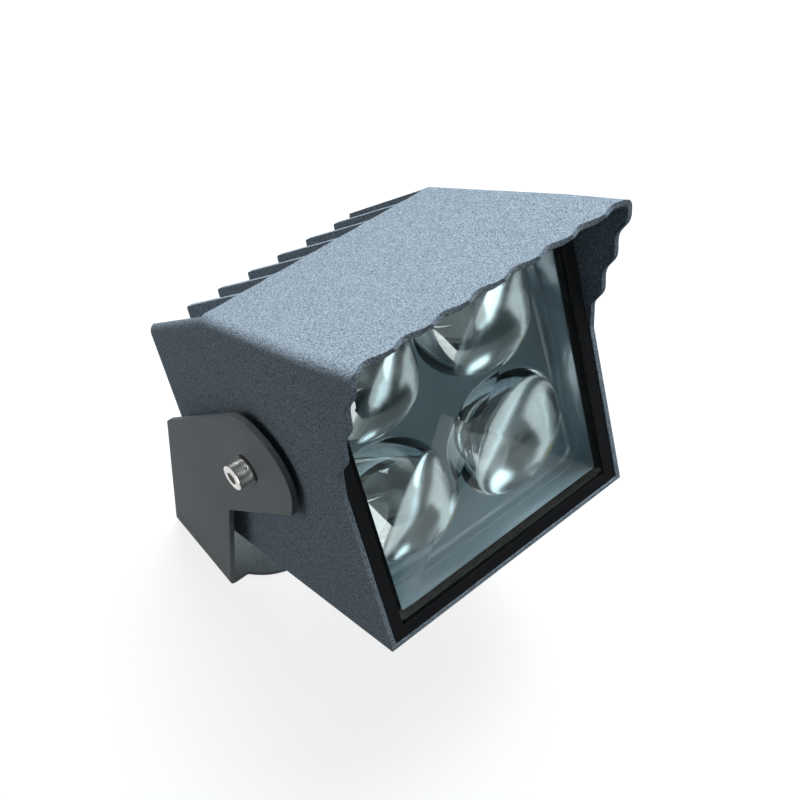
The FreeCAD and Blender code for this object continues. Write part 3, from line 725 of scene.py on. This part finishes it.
def spun(mesh: bmesh.types.BMesh, profile: list[Point], steps: int, closed: bool,
         axis: Vector = Vector((0.0, 1.0, 0.0))) -> list[bmesh.types.BMVert]:
    """Turns a profile of (radius, distance along the axis) into a solid of revolution about the origin.

    Args:
        mesh: The mesh that gets the faces.
        profile: Points of the profile.
        steps: Faces around the axis.
        closed: True joins the last point to the first.
        axis: Y or X; the radius lies along Z.

    Returns:
        The new vertices.
    """
    before = set(mesh.verts)
    verts = [mesh.verts.new(axis * along + Vector((0.0, 0.0, radius))) for radius, along in profile]
    count = len(verts) if closed else len(verts) - 1
    edges = [mesh.edges.new((verts[i], verts[(i + 1) % len(verts)])) for i in range(count)]
    bmesh.ops.spin(mesh, geom=verts + edges, cent=(0, 0, 0), axis=axis, dvec=(0, 0, 0),
                   angle=2 * math.pi, steps=steps, use_merge=True, use_duplicate=False)
    made = [vert for vert in mesh.verts if vert not in before]
    bmesh.ops.remove_doubles(mesh, verts=made, dist=1e-7)
    return [vert for vert in mesh.verts if vert not in before]


def bevelled_block(mesh: bmesh.types.BMesh, low: Vector, high: Vector, arris: float,
                   corner: float = 0.0, corner_steps: int = 6) -> list[bmesh.types.BMVert]:
    """Adds a block whose edges along Y are rounded first and whose other edges get a small arris.

    Args:
        mesh: The mesh that gets the block.
        low: Its lowest corner.
        high: Its highest corner.
        arris: Width of the small bevel.
        corner: Radius of the edges along Y, or 0.
        corner_steps: Segments of each rounded corner.

    Returns:
        The new vertices.
    """
    before = set(mesh.verts)
    middle = (low + high) / 2
    size = high - low
    place = Matrix.Translation(middle) @ Matrix.Diagonal((*size, 1.0))
    bmesh.ops.create_cube(mesh, size=1.0, matrix=place)

    def fresh_edges() -> list[bmesh.types.BMEdge]:
        """Gives the block's own edges."""
        return [edge for edge in mesh.edges if all(vert not in before for vert in edge.verts)]

    if corner > 0:
        along = [edge for edge in fresh_edges()
                 if abs(edge.verts[0].co.y - edge.verts[1].co.y) > size.y * 0.9]
        bmesh.ops.bevel(mesh, geom=along, offset=corner, segments=corner_steps, profile=0.5,
                        affect="EDGES", material=-1)
    rims = [edge for edge in fresh_edges()
            if len(edge.link_faces) == 2 and edge.calc_face_angle(0.0) > 1.0]
    bmesh.ops.bevel(mesh, geom=rims, offset=arris, segments=2, profile=0.5, affect="EDGES", material=-1)
    return [vert for vert in mesh.verts if vert not in before]


@dataclass
class Optics:
    """Four domed lenses over mirror cups, each over its light-emitting chip."""

    pitch_x: float = 0.061
    pitch_z: float = 0.062
    middle_z: float = 0.0798
    cup_y: float = 0.0333
    lens: float = 0.0292
    lens_rim: float = 0.0014
    lens_height: float = 0.020
    mouth: float = 0.0285
    throat: float = 0.010
    depth: float = 0.03705
    skin: float = 0.0012
    collar: float = 0.013
    collar_hole: float = 0.0115
    board_y: float = 0.07235
    chip: float = 0.0135
    carrier: float = 0.0015
    dam: float = 0.0056
    dam_width: float = 0.0008
    dam_height: float = 0.0003
    sunk: float = 0.0001
    gel_inset: float = 0.0007
    gel_heights: tuple[float, float, float] = (0.00012, 0.0002, 0.00024)
    pad_half: float = 0.0011
    pad_height: float = 0.00012
    rings: int = 40
    around: int = 144

    def places(self) -> list[Vector]:
        """Gives the cups' axes in the head's frame, in the nodes' order."""
        return [Vector((x, 0.0, self.middle_z + z)) for z in (-self.pitch_z / 2, self.pitch_z / 2)
                for x in (-self.pitch_x / 2, self.pitch_x / 2)]

    def cup_profile(self) -> list[Point]:
        """Gives the closed profile of a cup.

        Returns:
            Points of (radius, depth behind the mouth).
        """
        focus = (self.mouth ** 2 - self.throat ** 2) / (4 * self.depth)

        def radius(depth: float) -> float:
            """Gives the mirror's radius at a depth behind the mouth."""
            return math.sqrt(max(self.mouth ** 2 - 4 * focus * depth, 0.0))

        depths = [self.depth * math.sin(math.pi / 2 * i / self.rings) for i in range(self.rings + 1)]
        inner = [(radius(depth), depth) for depth in depths]
        outer = [(radius(depth) + self.skin, depth) for depth in reversed(depths)]
        foot = self.board_y - self.cup_y
        step = self.depth + 0.0004
        collar = [(self.throat, step), (self.collar_hole, step), (self.collar_hole, foot),
                  (self.collar, foot), (self.collar, self.depth)]
        return inner + collar + outer

    def build_cup(self, shop: Workshop, number: int, place: Vector) -> None:
        """Makes one cup.

        Args:
            shop: The workshop.
            number: The node's number, from 1.
            place: The cup's axis in the head's frame.
        """
        mesh = bmesh.new()
        spun(mesh, self.cup_profile(), steps=self.around, closed=True)
        move = HEAD @ Matrix.Translation(place + Vector((0.0, self.cup_y, 0.0)))
        bmesh.ops.transform(mesh, matrix=move, verts=mesh.verts[:])
        name = "reflector_%d" % number
        shop.piece(mesh, "mirror_cup_%d" % number, [MIRROR], Body.HEAD, (name,))

    def build_lens(self, shop: Workshop, number: int, place: Vector) -> None:
        """Makes one domed lens with its flat back on the cup's mouth.

        Args:
            shop: The workshop.
            number: The node's number, from 1.
            place: The lens's axis in the head's frame.
        """
        ball = (self.lens ** 2 + self.lens_height ** 2) / (2 * self.lens_height)
        half_angle = math.asin(self.lens / ball)
        top = -self.lens_rim - self.lens_height
        steps = 48
        turns = [half_angle * i / steps for i in range(steps + 1)]
        dome = [(ball * math.sin(turn), top + ball * (1 - math.cos(turn))) for turn in turns]
        edge = 0.0002
        profile = dome + [(self.lens, -edge), (self.lens - edge, 0.0), (0.0, 0.0)]
        mesh = bmesh.new()
        spun(mesh, profile, steps=self.around, closed=False)
        move = HEAD @ Matrix.Translation(place + Vector((0.0, self.cup_y, 0.0)))
        bmesh.ops.transform(mesh, matrix=move, verts=mesh.verts[:])
        shop.piece(mesh, "dome_lens_%d" % number, [LENS], Body.HEAD, ("lens_%d" % number,))

    def build_chip(self, shop: Workshop, number: int, place: Vector) -> None:
        """Makes one chip: ceramic carrier, contact pads, dam and phosphor field.

        Args:
            shop: The workshop.
            number: The node's number, from 1.
            place: The chip's axis in the head's frame.
        """
        mesh = bmesh.new()
        half = self.chip / 2
        front = self.board_y - self.carrier
        bevelled_block(mesh, Vector((-half, front, -half)), Vector((half, self.board_y, half)), 0.00012)
        inner = self.dam - self.dam_width
        shoulder = -self.dam_height * 0.7
        dam = [(inner, self.sunk), (inner, shoulder), (self.dam - self.dam_width / 2, -self.dam_height),
               (self.dam, shoulder), (self.dam, self.sunk)]
        ring = spun(mesh, dam, steps=64, closed=True)
        bmesh.ops.translate(mesh, verts=ring, vec=(0.0, front, 0.0))
        field_radius = self.dam - self.gel_inset
        edge, slope, top = self.gel_heights
        gel = [(field_radius, self.sunk), (field_radius, -edge), (field_radius * 0.6, -slope), (0.0, -top)]
        disc = spun(mesh, gel, steps=64, closed=False)
        bmesh.ops.translate(mesh, verts=disc, vec=(0.0, front, 0.0))
        for face in {face for vert in disc for face in vert.link_faces}:
            face.material_index = 1
        for side in (-1, 1):
            centre = Vector((side * half * 0.8, front, -side * half * 0.8))
            pad = Vector((self.pad_half, 0.0, self.pad_half))
            raised = Vector((0, self.pad_height, 0))
            verts = bevelled_block(mesh, centre - pad - raised, centre + pad, self.pad_height / 3)
            for face in {face for vert in verts for face in vert.link_faces}:
                face.material_index = 2
        bmesh.ops.transform(mesh, matrix=HEAD @ Matrix.Translation(place), verts=mesh.verts[:])
        shop.piece(mesh, "emitter_%d" % number, [CARRIER, PHOSPHOR, STAINLESS], Body.HEAD,
                   ("led_chip_%d" % number,))

    def build(self, shop: Workshop) -> None:
        """Makes all lenses, cups and chips.

        Args:
            shop: The workshop.
        """
        for number, place in enumerate(self.places(), 1):
            self.build_lens(shop, number, place)
            self.build_cup(shop, number, place)
            self.build_chip(shop, number, place)


@dataclass
class FrontPane:
    """The front glass with ground arrises, drawn in the head's frame."""

    half_width: float = 0.0708
    bottom: float = 0.003873
    top: float = 0.155225
    front_y: float = 0.0015
    thickness: float = 0.004
    corner: float = 0.00135
    arris: float = 0.0005

    def build(self, shop: Workshop) -> None:
        """Makes the glass.

        Args:
            shop: The workshop.
        """
        mesh = bmesh.new()
        low = Vector((-self.half_width, self.front_y, self.bottom))
        high = Vector((self.half_width, self.front_y + self.thickness, self.top))
        bevelled_block(mesh, low, high, self.arris, self.corner)
        bmesh.ops.transform(mesh, matrix=HEAD, verts=mesh.verts[:])
        shop.piece(mesh, "front_pane", [PANE], Body.HEAD, ("front_glass",))


@dataclass
class TiltHardware:
    """Knurled socket-head screws and their dark washers on the tilt axis."""

    arm_outer_x: float = 0.079
    washer: float = 0.001
    washer_radius: float = 0.0074
    hole_radius: float = 0.00408
    head_radius: float = 0.0065
    head_height: float = 0.008
    chamfer: float = 0.0005
    shank_radius: float = 0.004
    engagement: float = 0.015
    hex_across: float = 0.006
    hex_depth: float = 0.004
    knurls: int = 60
    knurl_scale: float = 0.965
    tip_chamfer: float = 0.0006
    seat_arris: float = 0.0003
    washer_arris: float = 0.00015

    def screw(self, mesh: bmesh.types.BMesh) -> None:
        """Adds a screw along +X with its seat at x = 0.

        Args:
            mesh: The mesh that gets the screw.
        """
        corner = self.hex_across / math.sqrt(3)
        top = self.head_height
        socket_rim = corner + 0.00035
        head, shank, tip = self.head_radius, self.shank_radius, -self.engagement
        profile = [(0.0, tip), (shank - self.tip_chamfer, tip), (shank, tip + self.tip_chamfer),
                   (shank, 0.0), (head - self.seat_arris, 0.0), (head, self.seat_arris),
                   (head, 0.0012), (head, top - 0.0016), (head, top - self.chamfer),
                   (head - self.chamfer * 0.3, top - self.chamfer * 0.3),
                   (head - self.chamfer, top), (socket_rim, top)]
        steps = self.knurls * 2
        verts = spun(mesh, profile, steps, closed=False, axis=Vector((1.0, 0.0, 0.0)))
        for vert in verts:
            outermost = math.hypot(vert.co.y, vert.co.z) > head - 1e-5
            in_band = 0.001 < vert.co.x < top - 0.001 and outermost
            turn = round(math.atan2(vert.co.y, vert.co.z) / (2 * math.pi) * steps)
            if in_band and turn % 2:
                vert.co = Vector((vert.co.x, vert.co.y * self.knurl_scale, vert.co.z * self.knurl_scale))

        def open_at_top() -> list[bmesh.types.BMEdge]:
            """Gives the open edges in the plane of the head's top."""
            return [edge for edge in mesh.edges
                    if edge.is_boundary and all(abs(v.co.x - top) < 1e-7 for v in edge.verts)]

        rim = open_at_top()
        place = Matrix.Translation((top, 0.0, 0.0)) @ Matrix.Rotation(math.pi / 2, 4, "Y")
        hexagon = bmesh.ops.create_circle(mesh, segments=6, radius=corner, matrix=place)["verts"]
        hex_edges = list({edge for vert in hexagon for edge in vert.link_edges})
        bmesh.ops.subdivide_edges(mesh, edges=hex_edges, cuts=steps // 6 - 1)
        inner = [edge for edge in mesh.edges if edge.is_wire]
        bmesh.ops.bridge_loops(mesh, edges=rim + inner)
        walls = bmesh.ops.extrude_edge_only(mesh, edges=open_at_top())["geom"]
        floor = [item for item in walls if isinstance(item, bmesh.types.BMVert)]
        bmesh.ops.translate(mesh, verts=floor, vec=(-self.hex_depth, 0.0, 0.0))
        floor_edges = [item for item in walls if isinstance(item, bmesh.types.BMEdge)]
        bmesh.ops.contextual_create(mesh, geom=floor_edges)

    def build(self, shop: Workshop) -> None:
        """Makes both screws and both washers.

        Args:
            shop: The workshop.
        """
        screws = bmesh.new()
        washers = bmesh.new()
        for side in (-1, 1):
            turn = Matrix.Rotation(math.pi if side < 0 else 0.0, 4, "Z")
            one = bmesh.new()
            self.screw(one)
            seat = Matrix.Translation(PIVOT + Vector((side * (self.arm_outer_x + self.washer), 0.0, 0.0)))
            bmesh.ops.transform(one, matrix=seat @ turn, verts=one.verts[:])
            merge(one, screws)
            ring = bmesh.new()
            edge, hole, rim, thick = self.washer_arris, self.hole_radius, self.washer_radius, self.washer
            profile = [(hole, edge), (hole + edge, 0.0), (rim - edge, 0.0), (rim, edge),
                       (rim, thick - edge), (rim - edge, thick), (hole + edge, thick), (hole, thick - edge)]
            spun(ring, profile, 96, closed=True, axis=Vector((1.0, 0.0, 0.0)))
            seat = Matrix.Translation(PIVOT + Vector((side * self.arm_outer_x, 0.0, 0.0)))
            bmesh.ops.transform(ring, matrix=seat @ turn, verts=ring.verts[:])
            merge(ring, washers)
        shop.piece(screws, "socket_screws", [STAINLESS], Body.HEAD, ("tilt_screws",))
        shop.piece(washers, "dark_washers", [BLACK_STEEL], Body.HEAD, ("tilt_washers",))


def merge(source: bmesh.types.BMesh, target: bmesh.types.BMesh) -> None:
    """Moves one mesh into another and frees it.

    Args:
        source: The mesh to move.
        target: The mesh that receives it.
    """
    data = bpy.data.meshes.new("passing")
    source.to_mesh(data)
    source.free()
    target.from_mesh(data)
    bpy.data.meshes.remove(data)


@dataclass
class Casting:
    """The nodes that keep their own shape."""

    finishes: tuple[tuple[Finish, tuple[str, ...]], ...] = (
        (CASTING, ("housing", "rear_cover")),
        (BRACKET, ("u_bracket",)),
        (TRAY, ("reflector_tray",)),
        (INK, ("glass_border",)),
        (SEAL, ("glass_seal", "cover_seal", "gland_seal")),
        (STAINLESS, ("tray_screws", "board_screws", "driver_screws", "cover_screws")),
        (BOARD, ("led_board",)),
        (DRIVER, ("driver",)),
        (SLEEVES, ("led_wires",)),
        (NYLON, ("gland_body", "gland_nut", "gland_lock_nut")),
    )

    def build(self, shop: Workshop) -> None:
        """Dresses the nodes.

        Args:
            shop: The workshop.
        """
        for finish, names in self.finishes:
            shop.dress(names, finish)


@dataclass(frozen=True)
class Card:
    """Flat card that only mirrors and glass show."""

    name: str
    place: tuple[float, float, float]
    faces: tuple[float, float, float]
    size: tuple[float, float]
    tone: float


@dataclass(frozen=True)
class Lamp:
    """Square lamp aimed at the middle of the object.

    A facing white surface renders as level times white.
    """

    name: str
    towards: tuple[float, float, float]
    level: float
    colour: tuple[float, float, float]
    in_gloss: bool = True


@dataclass
class Studio:
    """White floor and surroundings, lamps, cards for mirrors and glass, and the camera."""

    floor_size: float = 18.0
    fill_level: float = 0.03
    middle: tuple[float, float, float] = (0.0, 0.0, 0.15)
    lamp_distance: float = 2.2
    lamp_size: float = 1.5
    lamps: tuple[Lamp, ...] = (
        Lamp("key", (0.35, 0.28, 0.9), 1.86, (0.85, 0.94, 1.0)),
        Lamp("side", (-0.9, 0.3, 0.35), 0.19, (0.93, 0.98, 1.0)),
        Lamp("front", (0.5, -0.8, 0.55), 0.22, (0.9, 0.98, 1.0), in_gloss=False),
    )
    lens: float = 56.04
    camera_place: tuple[float, float, float] = (-0.2546, -0.2782, 0.6518)
    right: tuple[float, float, float] = (0.7562, -0.6465, 0.1010)
    up: tuple[float, float, float] = (0.4972, 0.6681, 0.5536)
    back: tuple[float, float, float] = (-0.4254, -0.3684, 0.8266)
    cards: tuple[Card, ...] = (
        Card("dark_floor", (0.85, -1.95, 0.001), (0.0, 0.0, 1.0), (2.9, 3.4), 0.012),
        Card("dark_front", (1.0, -3.4, 0.7), (0.0, 1.0, 0.0), (4.4, 1.4), 0.012),
        Card("bright_left", (-1.6, -1.5, 1.0), (0.7, 0.6, -0.3), (2.8, 2.6), 3.2),
        Card("bright_above", (-0.3, -2.2, 2.4), (0.1, 0.7, -0.7), (2.4, 1.6), 2.0),
    )

    def seen(self, graph: Graph) -> bpy.types.NodeSocket:
        """Gives 1 for rays that show the background: from the camera, in gloss or through glass.

        Args:
            graph: The material's graph.

        Returns:
            The mask's socket.
        """
        ray = graph.add("LightPath")
        direct = graph.math("MAXIMUM", ray.outputs["Is Camera Ray"], ray.outputs["Is Glossy Ray"])
        return graph.math("MAXIMUM", direct, ray.outputs["Is Transmission Ray"])

    def floor(self) -> None:
        """Makes the white floor, which keeps the object's shadow."""
        mesh = bmesh.new()
        bmesh.ops.create_grid(mesh, x_segments=1, y_segments=1, size=self.floor_size / 2)
        data = bpy.data.meshes.new("floor")
        mesh.to_mesh(data)
        mesh.free()
        material, graph, out, _ = new_material("studio floor")
        dull = graph.add("BsdfDiffuse", Color=rgb(0.12, 0.125, 0.13))
        pale = graph.add("BsdfDiffuse", Color=rgb(0.2, 0.2, 0.2))
        glow = graph.add("Emission", Color=rgb(1.0, 1.0, 1.0), Strength=0.82)
        white = graph.add("AddShader")
        graph.put(white, 0, pale.outputs[0])
        graph.put(white, 1, glow.outputs[0])
        both = graph.add("MixShader")
        graph.put(both, 0, self.seen(graph))
        graph.put(both, 1, dull.outputs[0])
        graph.put(both, 2, white.outputs[0])
        graph.put(out, "Surface", both.outputs[0])
        data.materials.append(material)
        made = bpy.data.objects.new("floor", data)
        bpy.context.scene.collection.objects.link(made)

    def world(self) -> None:
        """Makes the pale surroundings."""
        world = bpy.data.worlds.new("studio")
        bpy.context.scene.world = world
        world.use_nodes = True
        world.node_tree.nodes.clear()
        graph = Graph(world.node_tree)
        out = graph.add("OutputWorld")
        soft = graph.add("Background", Color=rgb(0.93, 0.98, 1.0), Strength=self.fill_level)
        white = graph.add("Background", Color=rgb(1.0, 1.0, 1.0), Strength=1.0)
        both = graph.add("MixShader")
        graph.put(both, 0, self.seen(graph))
        graph.put(both, 1, soft.outputs[0])
        graph.put(both, 2, white.outputs[0])
        graph.put(out, "Surface", both.outputs[0])

    def lamp(self, lamp: Lamp) -> None:
        """Hangs a lamp.

        Args:
            lamp: The lamp.
        """
        data = bpy.data.lights.new(lamp.name, "AREA")
        data.size = self.lamp_size
        data.energy = lamp.level * math.pi ** 2 * self.lamp_distance ** 2
        data.color = lamp.colour
        made = bpy.data.objects.new(lamp.name, data)
        towards = Vector(lamp.towards).normalized()
        made.location = Vector(self.middle) + towards * self.lamp_distance
        made.rotation_mode = "QUATERNION"
        made.rotation_quaternion = (-towards).to_track_quat("-Z", "Y")
        made.visible_glossy = lamp.in_gloss
        made.visible_transmission = lamp.in_gloss
        bpy.context.scene.collection.objects.link(made)

    def card(self, card: Card) -> None:
        """Stands a card beside the object.

        Args:
            card: The card.
        """
        mesh = bmesh.new()
        turn = Vector(card.faces).to_track_quat("Z", "Y").to_matrix().to_4x4()
        place = Matrix.Translation(card.place) @ turn @ Matrix.Diagonal((*card.size, 1.0, 1.0))
        bmesh.ops.create_grid(mesh, x_segments=1, y_segments=1, size=0.5, matrix=place)
        data = bpy.data.meshes.new(card.name)
        mesh.to_mesh(data)
        mesh.free()
        material, graph, out, _ = new_material(card.name)
        glow = graph.add("Emission", Color=rgb(0.9, 1.0, 1.05), Strength=card.tone)
        graph.put(out, "Surface", glow.outputs[0])
        data.materials.append(material)
        made = bpy.data.objects.new(card.name, data)
        made.visible_camera = False
        made.visible_diffuse = False
        made.visible_shadow = False
        bpy.context.scene.collection.objects.link(made)

    def camera(self) -> None:
        """Puts the camera where the photograph was taken."""
        data = bpy.data.cameras.new("camera")
        data.lens = self.lens
        data.sensor_width = 36.0
        data.clip_start = 0.02
        data.clip_end = 40.0
        made = bpy.data.objects.new("camera", data)
        turn = Matrix((self.right, self.up, self.back)).transposed().to_4x4()
        made.matrix_world = Matrix.Translation(self.camera_place) @ turn
        bpy.context.scene.collection.objects.link(made)
        bpy.context.scene.camera = made

    def build(self) -> None:
        """Makes the floor, the surroundings, the lamps, the cards and the camera."""
        self.floor()
        self.world()
        for lamp in self.lamps:
            self.lamp(lamp)
        for card in self.cards:
            self.card(card)
        self.camera()
        bpy.context.scene.view_settings.view_transform = "Standard"


def main() -> None:
    """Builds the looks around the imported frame."""
    logging.basicConfig(level=logging.INFO, format="%(name)s: %(message)s")
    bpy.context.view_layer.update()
    shop = Workshop()
    Casting().build(shop)
    Optics().build(shop)
    FrontPane().build(shop)
    TiltHardware().build(shop)
    Studio().build()


if __name__ == "__main__":
    main()
